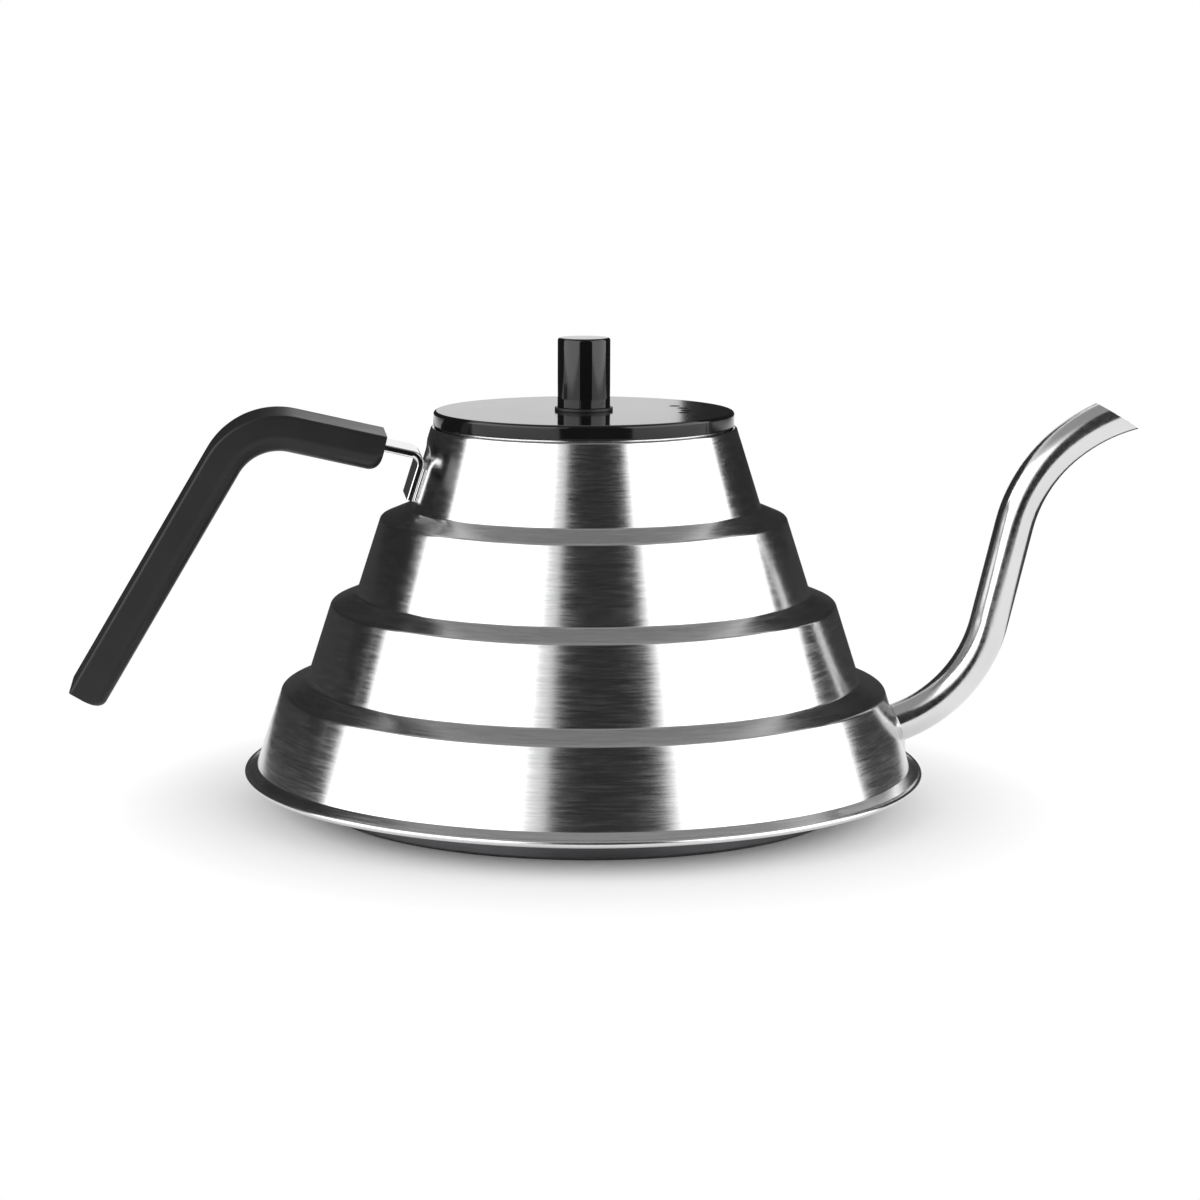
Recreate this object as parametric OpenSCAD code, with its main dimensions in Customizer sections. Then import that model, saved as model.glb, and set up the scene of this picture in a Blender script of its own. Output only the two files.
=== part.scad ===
// Gooseneck pour-over kettle with a four-tier body, a bent-strap handle and a lift-off lid.
// Millimetres, +Z up. The origin is on the kettle's axis at the surface it stands on.
// The spout points along +X and the handle along -X.

/* [Body] */
// Outside radius of the body at its mouth
mouth_r = 38.9; // [38:0.1:41]
// Height of the mouth above the base
mouth_z = 97.1; // [95:0.1:98]
// Outside radius of the body at the top of its second tier
shoulder_r = 51.95; // [51:0.05:53]
// Height of the top of the second tier above the base
shoulder_z = 73.9; // [73:0.1:75]
// How much wider each tier is than the one above it, from the third down
tier_step_r = 12.8; // [12.4:0.1:13]
// How much lower each tier starts than the one above it, from the third down
tier_step_z = 22.05; // [21.8:0.05:22.4]
// Width of the shoulder between two tiers
shoulder_w = 6.6; // [6:0.1:7.5]
// Fall of a shoulder from its inner to its outer corner
shoulder_fall = 2.75; // [2.4:0.05:3.2]
// Radius of the outer bend of a shoulder
shoulder_bend_r = 1.2; // [0.8:0.1:2]
// Radius of the inner bend at the foot of a tier
foot_bend_r = 0.8; // [0.5:0.1:1.2]
// Radius of the groove between the lowest tier and the flange
groove_r = 84; // [83.5:0.1:84.5]
// Height of that groove
groove_z = 10.7; // [10.4:0.1:11]
// Sheet thickness of the body
wall = 0.6; // [0.5:0.1:0.8]
// Radius of the rolled edge around the mouth
lip_bead_r = 1.0; // [0.8:0.1:1.1]

/* [Base] */
// Outermost radius of the rolled rim
rim_r = 87.4; // [87.2:0.1:88]
// Radius of the roll itself
rim_bead_r = 0.85; // [0.7:0.05:0.9]
// Outside radius of the capped bottom
base_r = 68; // [60:1:70]
// Thickness of the heat-spreading disc
heat_disc_t = 3.0; // [2:0.5:4]
// Sheet thickness of the cap under the disc
base_cap_t = 0.5; // [0.4:0.1:0.8]

/* [Spout] */
// Outside diameter of the spout tube
spout_od = 9.9; // [9.6:0.1:10.4]
// Wall thickness of the spout tube
spout_wall = 0.7; // [0.5:0.1:1]
// Distance of the spout's root from the kettle's axis
spout_root_x = 82.45; // [82:0.05:82.8]
// Height of the spout's root
spout_root_z = 18.6; // [18:0.1:19]
// Upward slope of the spout at its root, in degrees
spout_root_slope = 22; // [20:1:25]
// Slope of the straight middle of the neck, in degrees
neck_slope = 76.6; // [74:0.2:79]
// Slope of the tube at its tip, in degrees
tip_slope = 12; // [8:1:20]
// Centreline radius of the lower bend
lower_bend_r = 36.6; // [35:0.1:38]
// Length of the straight middle of the neck
neck_length = 26.3; // [24:0.1:28]
// Centreline radius of the upper bend
upper_bend_r = 38.2; // [36:0.1:40]
// Centreline radius of the flatter bend behind the tip
tip_bend_r = 45; // [42:1:50]
// Downward slope of the plane that cuts the tip, in degrees
tip_cut_slope = 31; // [28:0.2:34]
// How far that plane sits behind the end of the last bend
tip_setback = 6.6; // [5:0.1:8]

/* [Handle] */
// Width of the steel strap
strap_w = 18.4; // [16:0.2:20]
// Thickness of the steel strap
strap_t = 1.8; // [1.5:0.1:2]
// Outer radius of the strap's bend
strap_bend_r = 3.5; // [3:0.1:4]
// Thickness of the plate between the strap and the body
backplate_t = 0.7; // [0.5:0.1:0.9]
// Upward slope of the strap and of the grip's upper leg, in degrees
strap_slope = 12.8; // [10:0.2:15]
// Length of strap that shows between its bend and the grip
strap_reach = 7.3; // [6:0.1:8]
// Length of strap that is held inside the grip
tang_length = 30; // [24:1:34]
// Width of the grip
grip_w = 24; // [22:0.5:26]
// Thickness of the grip
grip_t = 9.4; // [8.6:0.1:10]
// Slope of the grip's lower leg below horizontal, in degrees
grip_leg_slope = 59.3; // [56:0.1:62]
// Length of the upper leg's straight, along its top face
grip_upper = 23.1; // [20:0.1:26]
// Length of the lower leg's straight, along its outer face
grip_lower = 69.0; // [60:0.1:72]
// Radius of the grip's bend, on its outer face
grip_bend_r = 21; // [19:0.5:23]
// Depth of the strap below the grip's top face
tang_cover = 2.3; // [2:0.1:2.8]

/* [Lid] */
// Largest radius of the lid disc
lid_r = 38.3; // [38:0.1:39.2]
// Height of the lid's top face above the base
lid_top_z = 101.1; // [100:0.1:102]
// Thickness of the lid disc at its rim
lid_t = 3.8; // [3:0.1:4.2]
// Outside radius of the plug that centres the lid in the mouth
plug_r = 36.9; // [36:0.1:37]
// Depth of the plug below the lid disc
plug_depth = 6.6; // [5:0.1:8]
// Number of steam vents
vent_count = 4; // [1:1:6]
// Diameter of one vent
vent_d = 3; // [2:0.1:3.4]
// Distance of the vents from the lid's centre
vent_ring_r = 26; // [22:0.5:28]
// Angle between two vents
vent_pitch = 13; // [10:1:15]

/* [Knob] */
// Radius of the knob
knob_r = 6.7; // [6:0.1:8]
// Height of the knob above the lid's top face
knob_h = 18.5; // [16:0.1:24]
// Radius of the seal ring under the knob
knob_seal_r = 7.4; // [7:0.1:8.4]
// Thickness of that seal ring
knob_seal_t = 0.8; // [0.5:0.1:1]

/* [Hidden] */

round_fn = 96;
small_fn = 48;
bend_steps = 6;
eps = 0.01;

steel = [0.76, 0.76, 0.77];
bright_steel = [0.84, 0.84, 0.85];
dark_steel = [0.30, 0.30, 0.31];
black = [0.05, 0.05, 0.055];
aluminium = [0.66, 0.67, 0.69];
brass = [0.78, 0.62, 0.34];

tiers = 4;
flange_edge = [86.3, 9.35];
flange_gap = 0.05;
lip_proud = 0.1;

pad_inset = 1.15;
pad_half_w = 13;
pad_top = -6.3;
pad_foot = -19.5;
pad_corner_r = 9;
strap_foot = -18.6;
strap_corner = -6;

root_run = 2;
easing_slope = 38.7;
tip_run = 1;
spout_sides = 32;
sweep_step = 6;

base_floor_z = base_cap_t + heat_disc_t;
disc_gap = 0.1;

tang_gap = 0.05;
slot_corner_r = 0.15;
grip_edge_r = 0.8;
grip_under_r = 4.4;
grip_end_r = 3.2;
grip_foot_r = 2.2;
screw_r = 1.5;
screw_head_r = 2.75;
screw_head_h = 1.8;
washer_t = 0.6;
screw_recess = 3.0;
screw_spots = [9, 22];

cup_t = 0.4;
cup_flange_r = 38.2;
cup_floor_z = lid_top_z - lid_t - plug_depth;
knob_foot_z = lid_top_z + knob_seal_t;
insert_r = 3.2;
insert_h = 9;
knob_screw_r = 2;
knob_head_r = 4;
knob_head_h = 2.4;
knob_washer_r = 5.5;
knob_washer_t = 0.8;
spring_washer_r = 3.8;

// ---- outlines ----

function unit(v) = v / norm(v);
function left_of(a, b) = let (u = unit(b - a)) [-u.y, u.x];

// The arc that rounds corner b between points a and c
function bend(a, b, c, r) =
    let (
        u = unit(a - b),
        w = unit(c - b),
        half = acos(u * w) / 2,
        centre = b + unit(u + w) * r / sin(half),
        from = b + u * r / tan(half) - centre,
        to = b + w * r / tan(half) - centre,
        start = atan2(from.y, from.x),
        sweep = (atan2(to.y, to.x) - start + 540) % 360 - 180
    )
    [for (i = [0:bend_steps]) let (t = start + sweep * i / bend_steps) centre + r * [cos(t), sin(t)]];

// A polyline with its inner corners rounded; radii holds one value per inner corner
function rounded(points, radii) = [
    points[0],
    for (i = [1:len(points) - 2]) each bend(points[i - 1], points[i], points[i + 1], radii[i - 1]),
    points[len(points) - 1]
];

// A polyline moved sideways by d, to its left where d is positive
function beside(points, d) =
    let (last = len(points) - 1)
    [for (i = [0:last])
        let (
            n1 = left_of(points[max(i - 1, 0)], points[max(i, 1)]),
            n2 = left_of(points[min(i, last - 1)], points[min(i + 1, last)])
        )
        points[i] + d * (n1 + n2) / (1 + n1 * n2)];

function reversed(points) = [for (i = [len(points) - 1:-1:0]) points[i]];

// The section of a sheet whose one face runs along the points
function sheet(points, t) = concat(points, reversed(beside(points, t)));

// ---- body outline ----

function tier_top(i) =
    i == 0 ? [mouth_r, mouth_z] :
    [shoulder_r + (i - 1) * tier_step_r, shoulder_z - (i - 1) * tier_step_z];
function tier_foot(i) =
    i == tiers - 1 ? [groove_r, groove_z] :
    tier_top(i + 1) + [-shoulder_w, shoulder_fall];

body_corners = [for (i = [0:tiers - 1]) each [tier_top(i), tier_foot(i)]];
body_bends = [for (i = [1:2 * tiers - 2]) i % 2 == 1 ? foot_bend_r : shoulder_bend_r];
body_side = rounded(body_corners, body_bends);
lip_start = body_side[0] + lip_bead_r * unit(body_side[1] - body_side[0]);
lip_centre = lip_start - (lip_bead_r - lip_proud) * left_of(body_side[0], body_side[1]);
body_outline = concat([lip_start], [for (i = [1:len(body_side) - 1]) body_side[i]], [flange_edge]);

top_lean = atan2(tier_foot(0).x - tier_top(0).x, tier_top(0).y - tier_foot(0).y);
strap_turn = 90 + top_lean - strap_slope;
strap_inner_x = pad_inset - backplate_t;
leg_top = strap_corner - strap_bend_r * tan(strap_turn / 2);

// ---- frames ----

// Local -Z runs down the top tier on the handle's side, and local -X points out of it
module on_top_tier() {
    translate([-mouth_r, 0, mouth_z]) rotate([0, top_lean, 0]) children();
}

// Local Z runs along the strap from its bend to the grip, and local X points up out of it
module on_strap() {
    on_top_tier()
        translate([strap_inner_x, 0, leg_top])
            translate([-strap_bend_r * (1 - cos(strap_turn)), 0, strap_bend_r * sin(strap_turn)])
                rotate([0, -strap_turn, 0])
                    children();
}

module at_spout_root() {
    translate([spout_root_x, 0, spout_root_z]) rotate([0, 90 - spout_root_slope, 0]) children();
}

// ---- body ----

module revolved(points) {
    rotate_extrude($fn = round_fn) polygon(points);
}

// Everything inside the body's outer face, down to the flange's edge
module body_outside() {
    last = beside(body_outline, -wall)[len(body_outline) - 1];
    revolved(concat([[0, last.y], [0, lip_start.y]], body_outline, [last]));
}

// Everything inside the body's inner face, run on past both open ends
module body_inside() {
    line = beside(body_outline, -wall);
    first = line[0] + 2 * unit(line[0] - line[1]);
    last = line[len(line) - 1] - [0, 2];
    revolved(concat([[0, last.y], [0, first.y], first], line, [last]));
}

// What is pressed away to seat the handle on a flat
module pad_press(inward) {
    on_top_tier()
        translate([pad_inset + inward, 0, 0])
            rotate([0, -90, 0])
                linear_extrude(6)
                    pad_shape(inward);
}

module pad_shape(inward) {
    half = pad_half_w + inward;
    top = pad_top + inward;
    foot = pad_foot - inward;
    polygon(rounded([[foot, -half], [top, -half], [top, half], [foot, half]], [pad_corner_r, pad_corner_r]));
}

// The collar that is drawn out of the lowest tier for the spout
module spout_boss() {
    r = spout_od / 2;
    at_spout_root()
        revolved([[0, -3], [r + 2.4, -3], [r + 2.2, -1.3], [r + 1, -0.8], [r + 0.4, -0.4], [r + 0.2, 0], [0, 0]]);
}

module spout_bore(back, front) {
    at_spout_root()
        translate([0, 0, -back])
            cylinder(h = back + front, r = spout_od / 2 - spout_wall, $fn = small_fn);
}

module body_shell() {
    color(steel) {
        difference() {
            union() {
                difference() {
                    body_outside();
                    pad_press(0);
                }
                spout_boss();
            }
            difference() {
                body_inside();
                pad_press(wall);
            }
            spout_bore(9, 1);
        }
        rotate_extrude($fn = round_fn) translate(lip_centre) circle(lip_bead_r, $fn = small_fn);
    }
}

// ---- base ----

under_flange = beside(body_outline, -wall - flange_gap);
pan_edge = under_flange[len(under_flange) - 1];
pan_seam = under_flange[len(under_flange) - 2];
pan_corners = [
    pan_edge, pan_seam,
    pan_seam - [2.6, 3.6], [base_r + 3, 5.4], [base_r - 1, base_floor_z + wall], [0, base_floor_z + wall]
];

module base_pan() {
    color(bright_steel)
        rotate_extrude($fn = round_fn) {
            polygon(sheet(rounded(pan_corners, [0.7, 1.5, 1.5, 1.5]), wall));
            difference() {
                translate([rim_r - rim_bead_r, flange_edge.y - rim_bead_r]) circle(rim_bead_r, $fn = small_fn);
                polygon(sheet(beside([tier_foot(tiers - 1), flange_edge], flange_gap), -wall - 3 * flange_gap));
            }
        }
}

module heat_disc() {
    r = base_r - base_cap_t - disc_gap;
    foot = base_cap_t;
    top = base_floor_z;
    color(aluminium) revolved(rounded([[0, foot], [r, foot], [r, top], [0, top]], [0.6, 0.3]));
}

module base_cap() {
    top = base_floor_z - 0.2;
    color(dark_steel)
        revolved(sheet(rounded([[0, 0], [base_r, 0], [base_r, top]], [0.8]), base_cap_t));
}

// ---- spout ----

// A station is [x, z, slope] on the spout's centreline. These give where a run leads from one.
function after_straight(s, length) = [s.x + length * cos(s.z), s.y + length * sin(s.z), s.z];
function after_bend(s, slope, radius) =
    let (r = radius * sign(slope - s.z))
    [s.x + r * (sin(slope) - sin(s.z)), s.y + r * (cos(s.z) - cos(slope)), slope];
function bend_stations(s, slope, radius) =
    let (steps = ceil(abs(slope - s.z) / sweep_step))
    [for (i = [1:steps]) after_bend(s, s.z + (slope - s.z) * i / steps, radius)];
function last(list) = list[len(list) - 1];

// The spout's stations, run on past its tip by the given length
function spout_stations(past) =
    let (
        root = [spout_root_x, spout_root_z, spout_root_slope],
        lower = bend_stations(after_straight(root, root_run), neck_slope, lower_bend_r),
        neck = after_straight(last(lower), neck_length),
        upper = bend_stations(neck, easing_slope, upper_bend_r),
        tip = bend_stations(last(upper), tip_slope, tip_bend_r)
    )
    concat([root, after_straight(root, root_run)], lower, [neck], upper, tip, [after_straight(last(tip), past)]);

function circle_points(r) = [for (i = [0:spout_sides - 1]) let (t = 360 * i / spout_sides) r * [cos(t), sin(t)]];

// A section's points [down, across] placed at a station
function placed(section, s) = [for (p = section) [s.x + p.x * sin(s.z), p.y, s.y - p.x * cos(s.z)]];

// A skin over the rings, each joined to the next. It ends in flat faces, or the last joins the first.
module ring_skin(rings, closed) {
    n = len(rings[0]);
    m = len(rings);
    polyhedron(
        points = [for (ring = rings) each ring],
        faces = [
            for (k = [0:m - (closed ? 1 : 2)], i = [0:n - 1])
                let (k2 = (k + 1) % m, i2 = (i + 1) % n)
                [k * n + i, k * n + i2, k2 * n + i2, k2 * n + i],
            if (!closed) [for (i = [n - 1:-1:0]) i],
            if (!closed) [for (i = [0:n - 1]) (m - 1) * n + i]
        ]
    );
}

module spout_tube() {
    line = spout_stations(tip_run);
    outer = [for (s = line) placed(circle_points(spout_od / 2), s)];
    inner = [for (s = reversed(line)) placed(circle_points(spout_od / 2 - spout_wall), s)];
    cut = after_straight(last(line), -tip_run - tip_setback);
    color(steel)
        difference() {
            ring_skin(concat(outer, inner), closed = true);
            translate([cut.x, 0, cut.y])
                rotate([0, tip_cut_slope, 0])
                    translate([-20, -20, 0])
                        cube([40, 40, 20]);
        }
}

// ---- handle ----

// The strap's section from the side, in the top tier's frame: its leg, its bend and its run into the grip
strap_bend = [strap_inner_x, strap_corner];
strap_end = strap_bend
    + (strap_bend_r * tan(strap_turn / 2) + strap_reach + tang_length) * [-sin(strap_turn), cos(strap_turn)];
strap_side = rounded([[strap_inner_x, strap_foot], strap_bend, strap_end], [strap_bend_r]);

module handle_strap() {
    color(bright_steel)
        difference() {
            on_top_tier()
                rotate([90, 0, 0])
                    linear_extrude(strap_w, center = true)
                        polygon(sheet(strap_side, strap_t));
            at_screws() translate([0, 0, -strap_t - 1]) cylinder(h = strap_t + 2, r = screw_r + 0.02, $fn = small_fn);
        }
}

module handle_backplate() {
    color(bright_steel)
        on_top_tier()
            translate([strap_inner_x, -strap_w / 2, strap_foot])
                cube([backplate_t, strap_w, leg_top - strap_foot]);
}

// Each child stands on the strap's top face at one grip screw, with local Z pointing up out of it
module at_screws() {
    on_strap()
        for (z = screw_spots)
            translate([0, 0, strap_reach + z]) rotate([0, 90, 0]) children();
}

grip_turn = strap_slope + grip_leg_slope;

// A loop of points [down, across] with four rounded corners
function bar_loop(top, bottom, width, top_r, bottom_r) =
    let (
        half = width / 2,
        corners = [[top, -half], [bottom, -half], [bottom, half], [top, half]],
        radii = [top_r, bottom_r, bottom_r, top_r]
    )
    [for (i = [0:3]) each bend(corners[(i + 3) % 4], corners[i], corners[(i + 1) % 4], radii[i])];

// The grip's section where it is t thick: a flat top with crisp edges and a rounded underside
function grip_section(t) = bar_loop(0, t, grip_w, grip_edge_r, grip_under_r);

// How far in from a rounded end each section lies, and how thick the bar is there
function grip_end(r) = [for (t = [0:22.5:90]) [r * (1 - cos(t)), grip_t - r * (1 - sin(t))]];

// The bar runs along local Z and bends down, which is towards local -X. Its skin starts at the foot,
// runs to the front and turns into the slot that holds the strap's tang.
module grip_bar() {
    front = [0, 0, 0];
    upper_end = after_straight(front, grip_upper);
    bend_line = bend_stations(upper_end, -grip_turn, grip_bend_r);
    foot = after_straight(last(bend_line), grip_lower);
    slot_w = strap_w + 4 * tang_gap;
    slot = bar_loop(tang_cover - tang_gap, tang_cover + strap_t + tang_gap, slot_w, slot_corner_r, slot_corner_r);
    rings = concat(
        [for (e = grip_end(grip_foot_r)) placed(grip_section(e.y), after_straight(foot, -e.x))],
        [for (s = reversed(concat([upper_end], bend_line))) placed(grip_section(grip_t), s)],
        [for (e = reversed(grip_end(grip_end_r))) placed(grip_section(e.y), after_straight(front, e.x))],
        [placed(slot, front), placed(slot, after_straight(front, tang_length + 2 * tang_gap))]
    );
    rotate(180, [1, 0, 1]) mirror([0, 1, 0]) ring_skin(rings, closed = false);
}

module handle_grip() {
    color(black)
        difference() {
            on_strap() translate([tang_cover, 0, strap_reach]) grip_bar();
            at_screws() {
                translate([0, 0, -grip_t]) cylinder(h = grip_t, r = screw_r + 0.2, $fn = small_fn);
                translate([0, 0, tang_cover - grip_t - 1])
                    cylinder(h = screw_recess + 1, r = screw_head_r + 0.35, $fn = small_fn);
            }
        }
}

screw_seat = tang_cover - grip_t + screw_recess;

module grip_screws() {
    color(steel)
        at_screws() {
            translate([0, 0, screw_seat - washer_t]) cylinder(h = washer_t - screw_seat, r = screw_r, $fn = small_fn);
            translate([0, 0, screw_seat - washer_t - screw_head_h])
                cylinder(h = screw_head_h, r = screw_head_r, $fn = small_fn);
        }
}

module grip_washers() {
    color(steel)
        at_screws()
            translate([0, 0, screw_seat - washer_t])
                difference() {
                    cylinder(h = washer_t, r = screw_head_r + 0.1, $fn = small_fn);
                    translate([0, 0, -1]) cylinder(h = washer_t + 2, r = screw_r + 0.1, $fn = small_fn);
                }
}

// ---- lid ----

module at_vents() {
    for (i = [0:vent_count - 1])
        rotate([0, 0, (i - (vent_count - 1) / 2) * vent_pitch])
            translate([vent_ring_r, 0, 0])
                children();
}

module vent_holes() {
    at_vents() translate([0, 0, cup_floor_z - 5]) cylinder(h = lid_top_z, r = vent_d / 2, $fn = small_fn);
}

module lid_disc() {
    under = lid_top_z - lid_t;
    hub_r = 7;
    edge = [[0, under], [lid_r, under], [lid_r, lid_top_z], [0, lid_top_z]];
    color(black)
        difference() {
            union() {
                revolved(rounded(edge, [0.9, 0.8]));
                translate([0, 0, cup_floor_z]) cylinder(h = plug_depth + eps, r = hub_r, $fn = small_fn);
            }
            vent_holes();
            translate([0, 0, cup_floor_z - 1]) cylinder(h = plug_depth + lid_t + 2, r = knob_screw_r + 0.2, $fn = small_fn);
        }
}

module lid_cup() {
    under = lid_top_z - lid_t;
    inner_r = plug_r - cup_t;
    face = rounded([[0, cup_floor_z], [inner_r, cup_floor_z], [inner_r, under], [cup_flange_r, under]], [2, 0.8]);
    color(bright_steel)
        difference() {
            revolved(sheet(face, -cup_t));
            vent_holes();
            translate([0, 0, cup_floor_z - 1]) cylinder(h = 2, r = knob_screw_r + 0.2, $fn = small_fn);
        }
}

module lid_knob() {
    top = lid_top_z + knob_h;
    side = [[0, knob_foot_z], [knob_r, knob_foot_z], [knob_r, top], [0, top]];
    color(black)
        difference() {
            revolved(rounded(side, [0.2, 0.7]));
            translate([0, 0, knob_foot_z - 1]) cylinder(h = insert_h + 1, r = insert_r + 0.02, $fn = small_fn);
            translate([0, 0, knob_foot_z - 1]) cylinder(h = insert_h + 3, r = knob_screw_r + 0.1, $fn = small_fn);
        }
}

module ring(z, height, outer, inner) {
    translate([0, 0, z])
        difference() {
            cylinder(h = height, r = outer, $fn = round_fn);
            translate([0, 0, -1]) cylinder(h = height + 2, r = inner, $fn = small_fn);
        }
}

module knob_seal() {
    color(black) ring(lid_top_z, knob_seal_t, knob_seal_r, knob_screw_r + 0.2);
}

module knob_insert() {
    color(brass) ring(knob_foot_z, insert_h, insert_r, knob_screw_r + 0.02);
}

screw_top_z = cup_floor_z - cup_t;
spring_washer_z = screw_top_z - knob_washer_t;
knob_head_z = spring_washer_z - washer_t;

module knob_washer() {
    color(steel) ring(spring_washer_z, knob_washer_t, knob_washer_r, knob_screw_r + 0.1);
}

module knob_spring_washer() {
    color(steel) ring(knob_head_z, washer_t, spring_washer_r, knob_screw_r + 0.1);
}

module knob_screw() {
    color(steel) {
        translate([0, 0, knob_head_z]) cylinder(h = knob_foot_z + insert_h - knob_head_z, r = knob_screw_r, $fn = small_fn);
        translate([0, 0, knob_head_z - knob_head_h]) cylinder(h = knob_head_h, r = knob_head_r, $fn = small_fn);
    }
}

body_shell();
base_pan();
heat_disc();
base_cap();
spout_tube();
handle_backplate();
handle_strap();
handle_grip();
grip_screws();
grip_washers();
lid_disc();
lid_cup();
lid_knob();
knob_seal();
knob_insert();
knob_screw();
knob_spring_washer();
knob_washer();
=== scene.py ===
import math

import bmesh
import bpy
from bpy.props import FloatProperty, FloatVectorProperty, IntProperty, PointerProperty
from mathutils import Matrix, Vector


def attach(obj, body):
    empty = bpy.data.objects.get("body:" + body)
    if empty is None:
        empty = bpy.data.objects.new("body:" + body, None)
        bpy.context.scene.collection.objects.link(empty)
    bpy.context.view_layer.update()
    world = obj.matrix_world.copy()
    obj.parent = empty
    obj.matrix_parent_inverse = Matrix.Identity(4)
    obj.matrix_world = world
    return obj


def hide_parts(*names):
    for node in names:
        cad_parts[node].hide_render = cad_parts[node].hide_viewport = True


bl_info = {
    "name": "Gooseneck Kettle",
    "version": (1, 0, 0),
    "blender": (4, 5, 0),
    "location": "View3D > Sidebar > Kettle",
    "description": "Builds a stepped gooseneck kettle, piece by piece, around its CAD frame",
    "category": "Add Mesh",
}

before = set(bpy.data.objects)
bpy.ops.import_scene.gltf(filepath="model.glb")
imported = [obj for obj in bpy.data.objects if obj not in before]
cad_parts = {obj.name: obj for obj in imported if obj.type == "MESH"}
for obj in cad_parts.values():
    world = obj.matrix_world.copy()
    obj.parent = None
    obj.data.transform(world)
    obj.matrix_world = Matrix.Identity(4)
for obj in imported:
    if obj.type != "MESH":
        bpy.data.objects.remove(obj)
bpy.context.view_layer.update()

MM = 0.001
TURN = 2 * math.pi
SMOOTH_ANGLE = math.radians(38)
TINY = 1e-7


# ---- properties ----

def length(name, description, millimetres):
    return FloatProperty(
        name=name, description=description, default=millimetres * MM, unit="LENGTH", precision=5)


def slope(name, description, degrees):
    return FloatProperty(name=name, description=description, default=math.radians(degrees), subtype="ANGLE")


def colour(name, description, red, green, blue):
    return FloatVectorProperty(
        name=name, description=description, default=(red, green, blue), size=3, subtype="COLOR", min=0, max=1)


class KETTLE_PG_body(bpy.types.PropertyGroup):
    mouth_radius: length("Mouth radius", "Outside radius at the mouth", 38.9)
    mouth_height: length("Mouth height", "Height of the mouth above the base", 97.1)
    tiers: IntProperty(name="Tiers", description="Number of conical tiers", default=4, min=2, max=6)
    shoulder_radius: length("Shoulder radius", "Outside radius at the top of the second tier", 51.95)
    shoulder_height: length("Shoulder height", "Height of the top of the second tier", 73.9)
    tier_widening: length("Tier widening", "Growth in radius from tier to tier", 12.8)
    tier_drop: length("Tier drop", "Step down from tier to tier", 22.05)
    shoulder_width: length("Shoulder width", "Width of the shoulder between two tiers", 6.6)
    shoulder_fall: length("Shoulder fall", "Fall of a shoulder across its width", 2.75)
    shoulder_bend: length("Shoulder bend", "Radius of its outer bend", 1.2)
    foot_bend: length("Foot bend", "Radius of the bend at a tier's foot", 0.8)
    groove_radius: length("Groove radius", "Radius of the groove above the flange", 84.0)
    groove_height: length("Groove height", "Height of that groove", 10.7)
    flange_radius: length("Flange radius", "Radius of the flange's edge", 86.3)
    flange_height: length("Flange height", "Height of the flange's edge", 9.35)
    wall: length("Wall", "Sheet thickness", 0.6)
    lip_roll: length("Lip roll", "Radius of the rolled mouth edge", 0.6)
    lip_proud: length("Lip proud", "Step of the roll out of the tier's face", 0.02)
    pad_depth: length("Pad depth", "Depth of the flat pressed in for the handle", 1.15)
    pad_half_width: length("Pad half width", "Half the width of that flat", 13.0)
    pad_top: length("Pad top", "Its top below the mouth, along the tier", 6.3)
    pad_foot: length("Pad foot", "Its foot below the mouth, along the tier", 19.5)
    pad_corner: length("Pad corner", "Radius of its upper corners", 9.0)
    collar_spread: length("Collar spread", "Reach of the spout's collar into the tier", 6.0)


class KETTLE_PG_base(bpy.types.PropertyGroup):
    rim_radius: length("Rim radius", "Outermost radius of the rolled rim", 87.4)
    rim_roll: length("Rim roll", "Radius of the roll itself", 0.85)
    cap_radius: length("Cap radius", "Outside radius of the capped bottom", 68.0)
    cap_thickness: length("Cap thickness", "Sheet thickness of the cap", 0.5)
    disc_thickness: length("Disc thickness", "Thickness of the heat disc", 3.0)


class KETTLE_PG_spout(bpy.types.PropertyGroup):
    outer_radius: length("Outside radius", "Outside radius of the tube", 4.95)
    wall: length("Wall", "Wall thickness of the tube", 0.7)
    root_x: length("Root distance", "Distance of the root from the axis", 82.45)
    root_z: length("Root height", "Height of the root", 18.6)
    root_slope: slope("Root slope", "Upward slope at the root", 22)
    root_run: length("Root run", "Straight stretch before the lower bend", 2.0)
    neck_slope: slope("Neck slope", "Slope of the neck's straight middle", 76.6)
    easing_slope: slope("Easing slope", "Slope where the upper bend eases", 38.7)
    tip_slope: slope("Tip slope", "Slope at the tip", 12)
    lower_bend: length("Lower bend", "Centreline radius of the lower bend", 36.6)
    neck_length: length("Neck length", "Length of the neck's straight middle", 26.3)
    upper_bend: length("Upper bend", "Centreline radius of the upper bend", 38.2)
    tip_bend: length("Tip bend", "Centreline radius behind the tip", 45)
    cut_slope: slope("Cut slope", "Downward slope of the cut at the tip", 31)
    cut_setback: length("Cut setback", "Distance of the cut behind the last bend", 6.6)


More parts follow.
